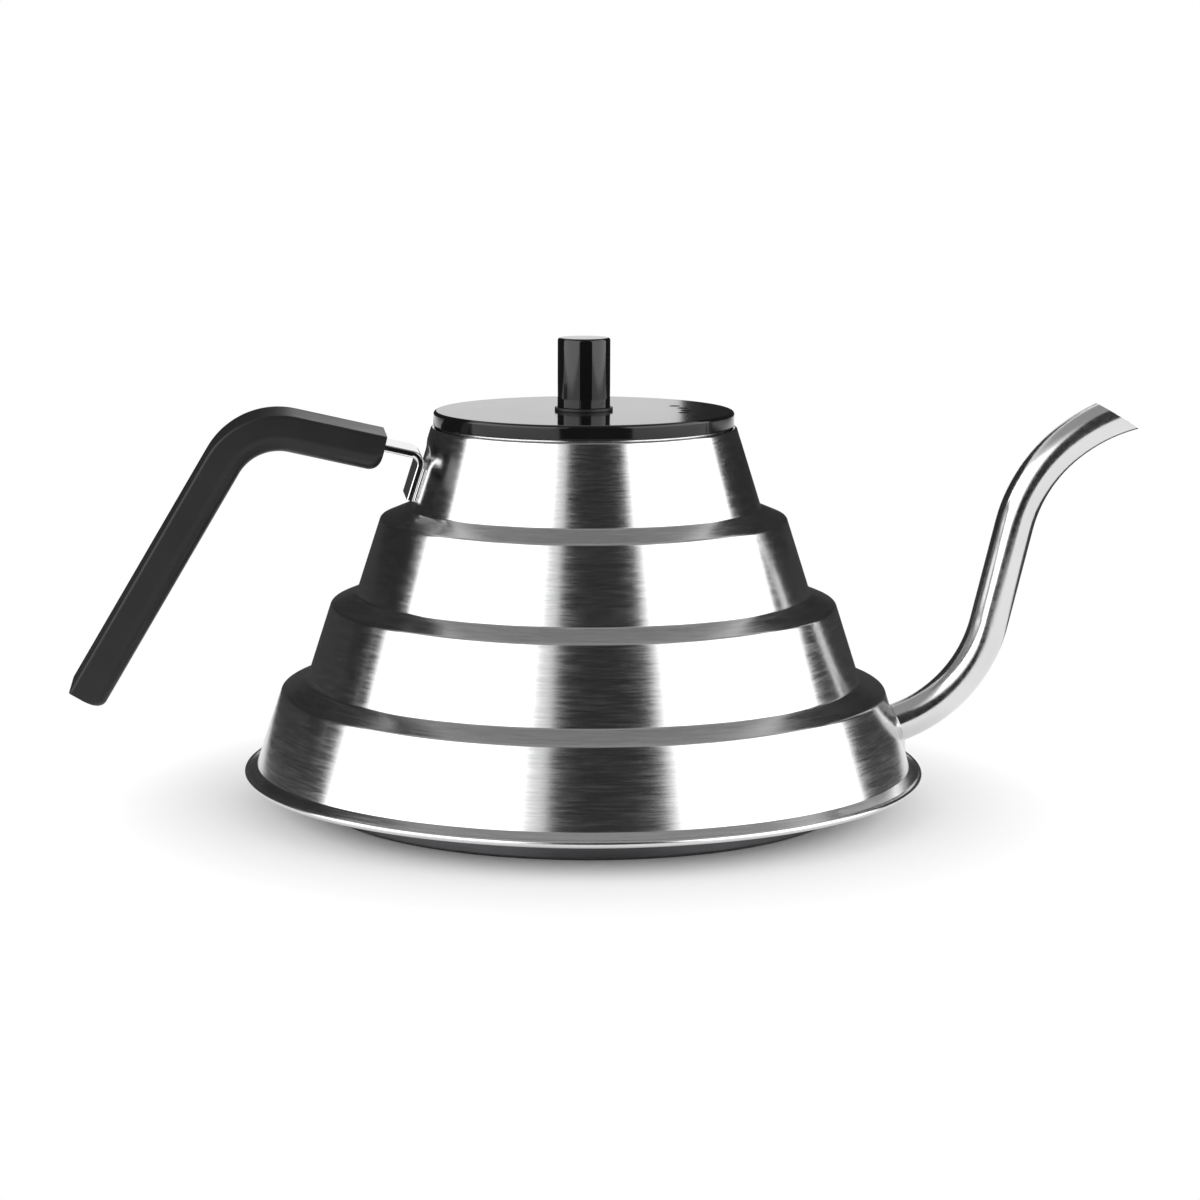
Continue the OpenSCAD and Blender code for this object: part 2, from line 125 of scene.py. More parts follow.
class KETTLE_PG_handle(bpy.types.PropertyGroup):
    strap_width: length("Strap width", "Width of the steel strap", 18.4)
    strap_thickness: length("Strap thickness", "Thickness of the strap", 1.8)
    strap_bend: length("Strap bend", "Outer radius of its bend", 3.5)
    strap_slope: slope("Strap slope", "Upward slope of strap and upper leg", 12.8)
    strap_reach: length("Strap reach", "Strap in sight between bend and grip", 7.3)
    strap_corner: length("Strap corner", "Its corner below the mouth", 6.0)
    strap_foot: length("Strap foot", "Its foot below the mouth", 18.6)
    strap_edge: length("Strap edge", "Rounding of its edges", 0.45)
    tang_length: length("Tang length", "Strap held inside the grip", 30)
    tang_cover: length("Tang cover", "Depth of the strap below the grip's top", 2.3)
    plate_thickness: length("Plate thickness", "Thickness of the plate behind the strap", 0.7)
    grip_width: length("Grip width", "Width of the grip", 24)
    grip_thickness: length("Grip thickness", "Thickness of the grip", 9.4)
    grip_leg_slope: slope("Leg slope", "Downward slope of its lower leg", 59.3)
    grip_upper: length("Upper leg", "Straight of the upper leg, on top", 23.1)
    grip_lower: length("Lower leg", "Straight of the lower leg, outside", 69.0)
    grip_bend: length("Grip bend", "Radius of its bend, outside", 21)
    top_edge: length("Top edge", "Rounding of its upper edges", 0.8)
    under_edge: length("Under edge", "Rounding of its lower edges", 4.4)
    front_round: length("Front rounding", "Rounding under its front end", 3.2)
    foot_round: length("Foot rounding", "Rounding inside its foot", 2.2)
    screw_first: length("First screw", "First screw from the grip's front", 9)
    screw_second: length("Second screw", "Second screw from the grip's front", 22)
    screw_recess: length("Screw recess", "Depth of the pocket over a screw", 3.0)
    screw_head: length("Screw head", "Radius of a screw's head", 2.75)
    screw_head_height: length("Screw head height", "Height of a screw's head", 1.8)
    screw_radius: length("Screw radius", "Radius of a screw's shank", 1.5)
    washer_thickness: length("Washer thickness", "Thickness of a screw's washer", 0.6)


class KETTLE_PG_lid(bpy.types.PropertyGroup):
    radius: length("Lid radius", "Largest radius of the lid disc", 38.3)
    top: length("Lid top", "Height of its top face", 101.1)
    thickness: length("Lid thickness", "Thickness of the disc at its rim", 3.8)
    plug_radius: length("Plug radius", "Outside radius of the plug under it", 36.9)
    plug_depth: length("Plug depth", "Depth of the plug below the disc", 6.6)
    cup_wall: length("Cup wall", "Sheet thickness of the plug", 0.4)
    cup_flange: length("Cup flange", "Radius of the plug's flange", 37.6)
    vents: IntProperty(name="Vents", description="Number of steam vents", default=4, min=1, max=6)
    vent_diameter: length("Vent diameter", "Diameter of one vent", 3.0)
    vent_ring: length("Vent ring", "Distance of the vents from the axis", 26)
    vent_pitch: slope("Vent pitch", "Angle between two vents", 13)
    knob_radius: length("Knob radius", "Radius of the knob", 6.7)
    knob_height: length("Knob height", "Height of the knob above the lid", 18.5)
    seal_radius: length("Seal radius", "Radius of the seal under the knob", 7.4)
    seal_thickness: length("Seal thickness", "Thickness of that seal", 0.8)
    screw_radius: length("Screw radius", "Radius of the knob screw's shank", 2.0)
    screw_head: length("Screw head", "Radius of its head", 4.0)
    screw_head_height: length("Head height", "Height of its head", 2.4)
    washer_radius: length("Washer radius", "Radius of the flat washer", 5.5)
    washer_thickness: length("Washer thickness", "Thickness of the flat washer", 0.8)
    spring_radius: length("Spring radius", "Radius of the spring washer", 3.8)
    spring_thickness: length("Spring thickness", "Thickness of the spring washer", 0.6)


class KETTLE_PG_finish(bpy.types.PropertyGroup):
    steel: colour("Body steel", "Colour of the brushed body", 0.66, 0.66, 0.665)
    bright: colour("Bright steel", "Colour of the rim, strap and spout", 0.74, 0.74, 0.745)
    # The cap's colour is darkened far below the steel's own, as painted shade for the shadow under the
    # kettle.
    cap: colour("Cap steel", "Colour of the capped bottom", 0.13, 0.13, 0.135)
    black: colour("Black", "Colour of the moulded grip", 0.010, 0.010, 0.0105)
    gloss: colour("Gloss black", "Colour of the lid and the knob", 0.006, 0.006, 0.0065)
    brass: colour("Brass", "Colour of the knob's insert", 0.72, 0.53, 0.24)
    aluminium: colour("Aluminium", "Colour of the heat disc", 0.60, 0.61, 0.63)


class KETTLE_PG_stage(bpy.types.PropertyGroup):
    camera_place: FloatVectorProperty(
        name="Camera place", description="Where the camera stands", subtype="TRANSLATION",
        default=(-84.93 * MM, -794.91 * MM, 180.73 * MM), size=3,
    )
    camera_turn: slope("Camera turn", "How far the camera looks towards the spout", 4.7)
    camera_tilt: slope("Camera tilt", "How far the camera looks down", 9.144)
    camera_lens: FloatProperty(name="Lens", description="Focal length in millimetres", default=94.405)
    camera_shift: FloatProperty(name="Shift", description="Sideways shift of the lens", default=0.07734)
    box_radiance: FloatProperty(name="Softbox level", description="Brightness of a softbox", default=1.5)
    floor: colour("Floor", "Colour of the floor", 0.9, 0.9, 0.9)


GROUPS = {
    "kettle_body": KETTLE_PG_body,
    "kettle_base": KETTLE_PG_base,
    "kettle_spout": KETTLE_PG_spout,
    "kettle_handle": KETTLE_PG_handle,
    "kettle_lid": KETTLE_PG_lid,
    "kettle_finish": KETTLE_PG_finish,
    "kettle_stage": KETTLE_PG_stage,
}


# ---- outlines, as lists of Vector((radius or x, height)) ----

def points(*pairs):
    return [Vector(pair) for pair in pairs]


def left_of(a, b):
    u = (b - a).normalized()
    return Vector((-u.y, u.x))


def arc(centre, radius, start, end, steps):
    """Points on a circle between two angles."""
    angles = [start + (end - start) * i / steps for i in range(steps + 1)]
    return [centre + radius * Vector((math.cos(t), math.sin(t))) for t in angles]


def bend(a, b, c, radius, steps):
    """The arc that rounds corner b between points a and c."""
    u, w = (a - b).normalized(), (c - b).normalized()
    half = math.acos(max(-1, min(1, u.dot(w)))) / 2
    centre = b + (u + w).normalized() * (radius / math.sin(half))
    first = b + u * (radius / math.tan(half)) - centre
    last = b + w * (radius / math.tan(half)) - centre
    start = math.atan2(first.y, first.x)
    sweep = (math.atan2(last.y, last.x) - start + 3 * math.pi) % TURN - math.pi
    return arc(centre, radius, start, start + sweep, steps)


def rounded(corners, radii, steps=8):
    """A polyline with its inner corners rounded."""
    line = [corners[0]]
    for i, radius in enumerate(radii, start=1):
        line += bend(corners[i - 1], corners[i], corners[i + 1], radius, steps)
    return line + [corners[-1]]


def rounded_loop(corners, radii, steps):
    """A closed outline with every corner rounded."""
    line = []
    for i, radius in enumerate(radii):
        line += bend(corners[i - 1], corners[i], corners[(i + 1) % len(corners)], radius, steps)
    return line


def beside(outline, distance):
    """A polyline moved sideways, to its left where the distance is positive."""
    end = len(outline) - 1
    moved = []
    for i, p in enumerate(outline):
        n1 = left_of(outline[max(i - 1, 0)], outline[max(i, 1)])
        n2 = left_of(outline[min(i, end - 1)], outline[min(i + 1, end)])
        moved.append(p + distance * (n1 + n2) / (1 + n1.dot(n2)))
    return moved


def filled_in(outline, spacing):
    """The same line with points added, so that none are further apart than the spacing."""
    line = [outline[0]]
    for a, b in zip(outline, outline[1:]):
        count = max(1, math.ceil((b - a).length / spacing))
        line += [a.lerp(b, k / count) for k in range(1, count + 1)]
    return line


# ---- modelling, with the operators ----

def nothing_selected():
    if bpy.context.object and bpy.context.object.mode != "OBJECT":
        bpy.ops.object.mode_set(mode="OBJECT")
    bpy.ops.object.select_all(action="DESELECT")


def only(obj):
    nothing_selected()
    obj.select_set(True)
    bpy.context.view_layer.objects.active = obj


def edit():
    """Edit mode, with everything selected."""
    bpy.ops.object.mode_set(mode="EDIT")
    bpy.ops.mesh.select_mode(type="VERT")
    bpy.ops.mesh.select_all(action="SELECT")


def settle(obj):
    """Leaves edit mode with the object's place in its mesh."""
    only(obj)
    bpy.ops.object.transform_apply(location=True, rotation=True, scale=True)


def named(obj, name):
    obj.name = obj.data.name = name
    return obj


def added(add_primitive, name, **settings):
    """A new primitive, added by one of the mesh operators."""
    nothing_selected()
    add_primitive(**settings)
    return named(bpy.context.object, name)


def line_object(name, places, closed):
    """A polyline of 3-D points, left in edit mode: one vertex, extruded from point to point."""
    obj = added(bpy.ops.mesh.primitive_plane_add, name, size=MM)
    edit()
    bpy.ops.mesh.merge(type="CENTER")
    bpy.ops.transform.translate(value=places[0])
    for a, b in zip(places, places[1:]):
        bpy.ops.mesh.extrude_region_move(TRANSFORM_OT_translate={"value": b - a})
    if closed:
        mesh = bmesh.from_edit_mesh(obj.data)
        for vertex in mesh.verts:
            vertex.select_set(len(vertex.link_edges) == 1)
        bmesh.update_edit_mesh(obj.data)
        bpy.ops.mesh.edge_face_add()
    bpy.ops.mesh.select_all(action="SELECT")
    return obj


def turned(name, outline, segments=192):
    """An outline of (radius, height) points turned about the Z axis. It is closed unless it ends there."""
    closed = outline[0].x > TINY or outline[-1].x > TINY
    obj = line_object(name, [Vector((p.x, 0, p.y)) for p in outline], closed)
    bpy.ops.mesh.spin(steps=segments, angle=TURN, center=(0, 0, 0), axis=(0, 0, 1))
    tidy_shell(obj)
    return obj


def extruded_along(stations):
    """Extrudes the selected ring along stations of (x, z, slope, depth), bending in the XZ plane.

    Each new ring is moved, turned about its own station and squeezed to its depth.
    """
    x, z, angle, depth = stations[0]
    for nx, nz, nangle, ndepth in stations[1:]:
        here = (nx, 0, nz)
        bpy.ops.mesh.extrude_region_move(TRANSFORM_OT_translate={"value": (nx - x, 0, nz - z)})
        bpy.ops.transform.rotate(value=nangle - angle, orient_axis="Y", center_override=here)
        if abs(ndepth - depth) > TINY:
            bpy.ops.transform.resize(
                value=(1, 1, ndepth / depth), orient_type="GLOBAL", orient_matrix_type="GLOBAL",
                orient_matrix=Matrix.Rotation(-nangle, 3, "Y"), center_override=here)
        x, z, angle, depth = nx, nz, nangle, ndepth


def swept(name, section, stations):
    """A closed section of (down, across) points carried along stations, with both ends closed."""
    x, z, angle, depth = stations[0]
    obj = line_object(name, [
        Vector((x + p.x * depth * math.sin(angle), p.y, z - p.x * depth * math.cos(angle))) for p in section
    ], closed=True)
    extruded_along(stations)
    select_open_edges()
    bpy.ops.mesh.fill_holes(sides=0)
    tidy_shell(obj)
    return obj


def full_depth(stations):
    """Stations (x, z, slope) with the section's whole depth."""
    return [station + (1.0,) for station in stations]


def select_open_edges():
    bpy.ops.mesh.select_all(action="DESELECT")
    bpy.ops.mesh.select_non_manifold(extend=False)


def tidy_shell(obj):
    """Merges doubled points, turns every face outwards and leaves edit mode."""
    bpy.ops.mesh.select_all(action="SELECT")
    bpy.ops.mesh.remove_doubles(threshold=1e-6)
    bpy.ops.mesh.select_all(action="SELECT")
    bpy.ops.mesh.normals_make_consistent(inside=False)
    settle(obj)


def carried(obj, matrix):
    """Moves a finished piece's mesh by a matrix."""
    obj.matrix_world = matrix @ obj.matrix_world
    settle(obj)
    return obj


def joined(target, *others):
    only(target)
    for o in others:
        o.select_set(True)
    bpy.ops.object.join()
    return target


def apply_modifier(obj, kind, **settings):
    only(obj)
    modifier = obj.modifiers.new(kind.title(), kind)
    for key, value in settings.items():
        setattr(modifier, key, value)
    bpy.ops.object.modifier_apply(modifier=modifier.name)


def cut_away(obj, cutter):
    """Subtracts the cutter and deletes it."""
    settle(cutter)
    apply_modifier(obj, "BOOLEAN", object=cutter, operation="DIFFERENCE", solver="EXACT")
    bpy.data.objects.remove(cutter)


def dressed(obj, material):
    obj.data.materials.clear()
    obj.data.materials.append(material)


def finished(obj, body, material, node, angle=SMOOTH_ANGLE):
    """Gives a piece its shading, its material and its body, and hides the CAD node that it stands for."""
    only(obj)
    bpy.ops.object.shade_smooth_by_angle(angle=angle)
    apply_modifier(obj, "WEIGHTED_NORMAL", mode="FACE_AREA", weight=50, keep_sharp=True)
    dressed(obj, material)
    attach(obj, body)
    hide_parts(node)


def groups(context, *names):
    """The scene's property groups of these names."""
    return [getattr(context.scene, "kettle_" + name) for name in names]


# ---- places that several pieces share ----

def tier_top(body, i):
    if i == 0:
        return Vector((body.mouth_radius, body.mouth_height))
    below = i - 1
    radius = body.shoulder_radius + below * body.tier_widening
    return Vector((radius, body.shoulder_height - below * body.tier_drop))


def tier_foot(body, i):
    if i == body.tiers - 1:
        return Vector((body.groove_radius, body.groove_height))
    return tier_top(body, i + 1) + Vector((-body.shoulder_width, body.shoulder_fall))


def body_corners(body):
    return [corner(body, i) for i in range(body.tiers) for corner in (tier_top, tier_foot)]


def top_lean(body):
    down = tier_foot(body, 0) - tier_top(body, 0)
    return math.atan2(down.x, -down.y)


def on_top_tier(body):
    """The top tier's frame on the handle's side: local -Z runs down it and local -X points out of it."""
    place = Matrix.Translation((-body.mouth_radius, 0, body.mouth_height))
    return place @ Matrix.Rotation(top_lean(body), 4, "Y")


def strap_turn(body, handle):
    return math.pi / 2 + top_lean(body) - handle.strap_slope


def on_strap(body, handle):
    """The strap's frame past its bend: local Z runs along it to the grip and local X points up out of it."""
    turn = strap_turn(body, handle)
    radius = handle.strap_bend
    leg_top = -handle.strap_corner - radius * math.tan(turn / 2)
    across = body.pad_depth - handle.plate_thickness - radius * (1 - math.cos(turn))
    bend_end = (across, 0, leg_top + radius * math.sin(turn))
    return on_top_tier(body) @ Matrix.Translation(bend_end) @ Matrix.Rotation(-turn, 4, "Y")


def after_straight(station, run):
    x, z, angle = station
    return (x + run * math.cos(angle), z + run * math.sin(angle), angle)


def bend_stations(station, angle, radius, step=math.radians(3)):
    """The stations along a bend from one slope to another."""
    x, z, start = station
    count = max(1, math.ceil(abs(angle - start) / step))
    r = math.copysign(radius, angle - start)
    line = []
    for i in range(1, count + 1):
        a = start + (angle - start) * i / count
        line.append((x + r * (math.sin(a) - math.sin(start)), z + r * (math.cos(start) - math.cos(a)), a))
    return line


def spout_line(spout, past):
    """Stations (x, z, slope) along the spout's centreline, run on past its tip."""
    root = (spout.root_x, spout.root_z, spout.root_slope)
    line = [root, after_straight(root, spout.root_run)]
    line += bend_stations(line[-1], spout.neck_slope, spout.lower_bend)
    line.append(after_straight(line[-1], spout.neck_length))
    line += bend_stations(line[-1], spout.easing_slope, spout.upper_bend)
    line += bend_stations(line[-1], spout.tip_slope, spout.tip_bend)
    line.append(after_straight(line[-1], past))
    return line


# ---- node trees ----

# The part of a noise's range that is spread over a whole span.
NOISE_LOW, NOISE_HIGH = 0.3, 0.7


class Tree:
    """A material's or a world's nodes, added and linked by short calls."""

    def __init__(self, owner):
        owner.use_nodes = True
        self.nodes = owner.node_tree.nodes
        self.links = owner.node_tree.links

    def add(self, kind, **settings):
        node = self.nodes.new(kind)
        for key, value in settings.items():
            setattr(node, key, value)
        return node

    def put(self, source, socket):
        """Links a node's first output, or a given output, to a socket. A plain value is set on it."""
        if isinstance(source, bpy.types.Node):
            source = source.outputs[0]
        if isinstance(source, bpy.types.NodeSocket):
            self.links.new(source, socket)
        else:
            socket.default_value = source

    def fed(self, kind, inputs, **settings):
        """A node with its inputs given by name."""
        node = self.add(kind, **settings)
        for name, source in inputs.items():
            self.put(source, node.inputs[name])
        return node

    def math(self, operation, *values):
        return self.fed("ShaderNodeMath", dict(enumerate(values)), operation=operation)

    def place(self, output="Object"):
        """Where a point lies on its object, or in another of the texture coordinates."""
        return self.add("ShaderNodeTexCoord").outputs[output]

    def noise(self, vector, scale, detail=2.0, roughness=0.5):
        return self.fed("ShaderNodeTexNoise", {
            "Vector": vector, "Scale": scale, "Detail": detail, "Roughness": roughness})

    def span(self, value, low, high, start=NOISE_LOW, end=NOISE_HIGH):
        """Carries a value that runs from start to end over to low and high."""
        return self.fed("ShaderNodeMapRange", {
            "Value": value, "From Min": start, "From Max": end, "To Min": low, "To Max": high})

    def varied(self, noise, value, share):
        """A value that a noise raises and lowers by a share of itself."""
        return self.span(noise, value * (1 - share), value * (1 + share))

    def mixed(self, factor, a, b):
        node = self.fed("ShaderNodeMix", {"Factor": factor, "A": a, "B": b}, data_type="RGBA")
        return node.outputs["Result"]

    def toned(self, noise, value, dark, light):
        """A colour that a noise carries from a darker to a lighter tone."""
        return self.mixed(self.span(noise, 0.0, 1.0), rgba(value, dark), rgba(value, light))

    def bumped(self, height, strength, distance):
        return self.fed("ShaderNodeBump", {"Height": height, "Strength": strength, "Distance": distance})


def rgba(value, gain=1.0):
    return tuple(min(1.0, c * gain) for c in value) + (1.0,)


def grey(level):
    return (level, level, level, 1)


def new_material(name, **constants):
    """A material with a Principled shader whose named sockets hold the given constants."""
    material = bpy.data.materials.new(name)
    tree = Tree(material)
    shader = tree.nodes["Principled BSDF"]
    for key, value in constants.items():
        shader.inputs[key.replace("_", " ")].default_value = value
    return material, tree, shader


def brushed_round(name, colour_value, roughness, anisotropy, streak_depth):
    """Steel brushed in rings about the kettle's axis, with the fine streaks that the belt leaves."""
    material, tree, shader = new_material(
        name, Metallic=1.0, Anisotropic=anisotropy, Anisotropic_Rotation=0.25)
    place = tree.place()
    x, y, z = tree.fed("ShaderNodeSeparateXYZ", {0: place}).outputs
    square = tree.math("ADD", tree.math("MULTIPLY", x, x), tree.math("MULTIPLY", y, y))
    radius = tree.math("MAXIMUM", tree.math("SQRT", square), MM)
    along = tree.math("SUBTRACT", z, radius)

    def rings(turns, lines):
        """Noise that is long round the axis and fine along the wall."""
        vector = tree.fed("ShaderNodeCombineXYZ", {
            0: tree.math("MULTIPLY", tree.math("DIVIDE", x, radius), turns),
            1: tree.math("MULTIPLY", tree.math("DIVIDE", y, radius), turns),
            2: tree.math("MULTIPLY", along, lines),
        })
        return tree.noise(vector, scale=1.0, detail=3.0, roughness=0.6)

    fine_share = 0.65
    fine = tree.math("MULTIPLY", rings(turns=9.0, lines=1500.0), fine_share)
    broad = tree.math("MULTIPLY", rings(turns=4.0, lines=480.0), 1 - fine_share)
    streak = tree.math("ADD", fine, broad)
    smudge = tree.noise(place, scale=70.0, detail=4.0)
    smudged = tree.span(smudge, -0.008, 0.012, start=0.35, end=0.65)
    tone = tree.toned(streak, colour_value, dark=1 - streak_depth, light=1 + streak_depth)
    rough = tree.math("ADD", tree.varied(streak, roughness, share=0.28), smudged)
    tree.put(tone, shader.inputs["Base Color"])
    tree.put(rough, shader.inputs["Roughness"])
    tree.put(tree.bumped(streak, strength=0.22, distance=0.05 * MM), shader.inputs["Normal"])
    tangent = tree.add("ShaderNodeTangent", direction_type="RADIAL", axis="Z")
    tree.put(tangent, shader.inputs["Tangent"])
    return material


def satin_metal(name, colour_value, roughness, grain=900.0):
    """Metal with a fine, even satin finish."""
    material, tree, shader = new_material(name, Metallic=1.0)
    place = tree.place()
    fine = tree.noise(place, grain, detail=3.0)
    cloudy = tree.noise(place, scale=60.0, detail=3.0)
    rough = tree.math("ADD", tree.varied(fine, roughness, share=0.2), tree.span(cloudy, -0.02, 0.02))
    tree.put(tree.toned(cloudy, colour_value, dark=0.97, light=1.03), shader.inputs["Base Color"])
    tree.put(rough, shader.inputs["Roughness"])
    tree.put(tree.bumped(fine, strength=0.05, distance=0.02 * MM), shader.inputs["Normal"])
    return material


def moulded_black(name, colour_value, roughness, grain, depth, sheen=0.5):
    """Moulded black plastic: a fine skin texture, a soft sheen and a little handling wear."""
    material, tree, shader = new_material(name, IOR=1.5, Specular_IOR_Level=sheen)
    place = tree.place()
    skin = tree.noise(place, grain)
    handled = tree.noise(place, scale=45.0, detail=4.0)
    tree.put(tree.toned(handled, colour_value, dark=0.85, light=1.2), shader.inputs["Base Color"])
    tree.put(tree.varied(handled, roughness, share=0.15), shader.inputs["Roughness"])
    tree.put(tree.bumped(skin, strength=depth, distance=0.02 * MM), shader.inputs["Normal"])
    return material


# ---- operators: the stage ----

# Name, azimuth in degrees, distance, width, lower and upper edge in metres, and brightness.
CARDS = (
    ("card_front", 3, 1.6, 1.25, 0.0, 2.4, 0.03),
    ("card_low", 3, 0.45, 0.45, 0.0, 0.1, 0.01),
    ("card_side_left", -142, 1.0, 1.56, 0.0, 0.95, 0.03),
    ("card_side_right", 137.5, 1.0, 1.32, 0.0, 0.95, 0.03),
    ("card_back_left", -138, 0.21, 0.4, 0.0, 0.075, 0.05),
    ("card_back_right", 138, 0.21, 0.4, 0.0, 0.075, 0.05),
)

# The same without the brightness, which both softboxes share.
SOFTBOXES = (
    ("softbox_left", -65, 0.95, 1.5, 0.02, 1.0),
    ("softbox_right", 66, 0.95, 1.5, 0.02, 1.0),
)


def facing(azimuth, distance, low, high):
    """Place and turn of an upright panel that faces the kettle. Azimuth 0 is in front."""
    a = math.radians(azimuth)
    return (distance * math.sin(a), -distance * math.cos(a), (low + high) / 2), (math.pi / 2, 0, a)


def card(name, azimuth, distance, width, low, high, level):
    """A glowing matt card that is seen only in the kettle's reflections."""
    place, turn = facing(azimuth, distance, low, high)
    obj = added(bpy.ops.mesh.primitive_plane_add, name, size=1, location=place, rotation=turn)
    obj.scale = (width, high - low, 1)
    settle(obj)
    tree = bare_tree(obj, name)
    glow = tree.fed("ShaderNodeEmission", {"Color": grey(level)})
    tree.fed("ShaderNodeOutputMaterial", {"Surface": glow})
    obj.visible_camera = False
    obj.visible_diffuse = False
    obj.visible_shadow = False
    obj.visible_transmission = False


def bare_tree(obj, name):
    """The empty node tree of an object's new material."""
    material = bpy.data.materials.new(name)
    obj.data.materials.append(material)
    tree = Tree(material)
    tree.nodes.clear()
    return tree


def softbox(name, azimuth, distance, width, low, high, radiance):
    """A rectangular light that faces the kettle."""
    light = bpy.data.lights.new(name, "AREA")
    light.shape = "RECTANGLE"
    light.size = width
    light.size_y = high - low
    light.energy = radiance * math.pi * width * (high - low)
    obj = bpy.data.objects.new(name, light)
    bpy.context.scene.collection.objects.link(obj)
    obj.location, obj.rotation_euler = facing(azimuth, distance, low, high)
    obj.visible_camera = False


class KETTLE_OT_stage(bpy.types.Operator):
    """Make the floor, the lights, the cards round the kettle and the camera"""

    bl_idname = "kettle.stage"
    bl_label = "Stage"

    def execute(self, context):
        stage = context.scene.kettle_stage
        self.make_camera(context, stage)
        self.make_floor(stage)
        self.make_world(context)
        for row in SOFTBOXES:
            softbox(*row, stage.box_radiance)
        for row in CARDS:
            card(*row)
        return {"FINISHED"}

    def make_camera(self, context, stage):
        camera = bpy.data.cameras.new("camera")
        camera.lens = stage.camera_lens
        camera.sensor_width = 36
        camera.shift_x = stage.camera_shift
        obj = bpy.data.objects.new("camera", camera)
        context.scene.collection.objects.link(obj)
        obj.location = stage.camera_place
        obj.rotation_euler = (math.pi / 2 - stage.camera_tilt, 0, -stage.camera_turn)
        context.scene.camera = obj

    def make_floor(self, stage):
        """A pale floor that keeps the shadow and runs out into plain white."""
        fade_start, fade_end = 0.07, 0.12
        floor = added(bpy.ops.mesh.primitive_plane_add, "floor", size=30, location=(0, 0, 0))
        tree = bare_tree(floor, "floor")
        matt = tree.fed("ShaderNodeBsdfDiffuse", {"Color": rgba(stage.floor)})
        white = tree.add("ShaderNodeEmission")
        reach = tree.fed("ShaderNodeVectorMath", {0: tree.place()}, operation="LENGTH")
        away = tree.span(reach.outputs["Value"], 0.0, 1.0, start=fade_start, end=fade_end)
        mix = tree.fed("ShaderNodeMixShader", {
            0: tree.math("MULTIPLY", away, seen_directly(tree)), 1: matt, 2: white})
        tree.fed("ShaderNodeOutputMaterial", {"Surface": mix})

    def make_world(self, context):
        """Plain white to the camera. Metal sees it grey overhead, and what lights the kettle is softer."""
        overhead_grey, lighting_grey = 0.34, 0.55
        world = bpy.data.worlds.new("studio")
        context.scene.world = world
        tree = Tree(world)
        tree.nodes.clear()
        height = tree.fed("ShaderNodeSeparateXYZ", {0: tree.place("Generated")}).outputs[2]
        overhead = tree.span(height, 1.0, overhead_grey, start=0.6, end=0.8)
        level = tree.mixed(seen_directly(tree), grey(lighting_grey), overhead)
        path = tree.add("ShaderNodeLightPath")
        level = tree.mixed(path.outputs["Is Camera Ray"], level, grey(1))
        glow = tree.fed("ShaderNodeBackground", {"Color": level})
        tree.fed("ShaderNodeOutputWorld", {"Surface": glow})


def seen_directly(tree):
    """1 for what the camera sees, straight, in metal or through glass, and 0 for what lights a surface."""
    path = tree.add("ShaderNodeLightPath")
    seen = tree.math("MAXIMUM", path.outputs["Is Camera Ray"], path.outputs["Is Glossy Ray"])
    return tree.math("MAXIMUM", seen, path.outputs["Is Transmission Ray"])


# ---- operators: the body ----

def mouth_roll(body):
    """The outline of the rolled mouth edge, from inside the mouth, over the top and onto the first tier."""
    top, foot = tier_top(body, 0), tier_foot(body, 0)
    out = left_of(top, foot)
    sunk = body.lip_roll - body.lip_proud
    centre = top + (foot - top).normalized() * body.lip_roll - out * sunk
    lean = math.atan2(out.y, out.x)
    meets_face = math.acos(sunk / body.lip_roll)
    turns_inside = math.radians(245)
    return arc(centre, body.lip_roll, lean + turns_inside, lean - meets_face, 22)


def body_skin(body):
    """The outer face's outline from the mouth to the flange."""
    corners = body_corners(body)
    radii = [body.foot_bend if i % 2 == 0 else body.shoulder_bend for i in range(len(corners) - 2)]
    return rounded(corners, radii) + [Vector((body.flange_radius, body.flange_height))]


def pressed_pad(obj, body):
    """Presses the flat behind the handle into the top tier, with a soft edge."""
    frame_in = on_top_tier(body)
    frame_out = frame_in.inverted()
    edge = 2.6 * MM
    for v in obj.data.vertices:
        p = frame_out @ v.co
        along = -body.pad_foot - edge < p.z < -body.pad_top + edge
        if v.co.x > 0 or abs(p.y) > body.pad_half_width + edge or not along:
            continue
        share = smooth_step(1 - outside_pad(p, body) / edge)
        target = max(p.x, body.pad_depth + (body.wall if v.select else 0))
        p.x += (target - p.x) * share
        v.co = frame_in @ p


def outside_pad(p, body):
    """How far a point lies outside the arch of the pressed flat, in the tier's plane."""
    r = body.pad_corner
    across = max(0, abs(p.y) - body.pad_half_width + r)
    over = math.hypot(across, max(0, p.z + body.pad_top + r)) - r
    return max(0, over, -body.pad_foot - p.z)


def smooth_step(t):
    t = max(0, min(1, t))
    return t * t * (3 - 2 * t)


def raised_collar(obj, body, spout):
    """Draws the lowest tier out to meet the spout's root."""
    below_lip, reach_in, steepness = 0.15 * MM, 12 * MM, 1.5
    axis = Vector((math.cos(spout.root_slope), 0, math.sin(spout.root_slope)))
    root = Vector((spout.root_x, 0, spout.root_z))
    for v in obj.data.vertices:
        offset = v.co - root
        height = offset.dot(axis)
        out = (offset - axis * height).length - spout.outer_radius
        if v.co.x < 0 or out > body.collar_spread or height < -reach_in:
            continue
        share = smooth_step(1 - out / body.collar_spread) ** steepness
        target = -below_lip - (body.wall if v.select else 0)
        v.co += axis * (target - height) * share


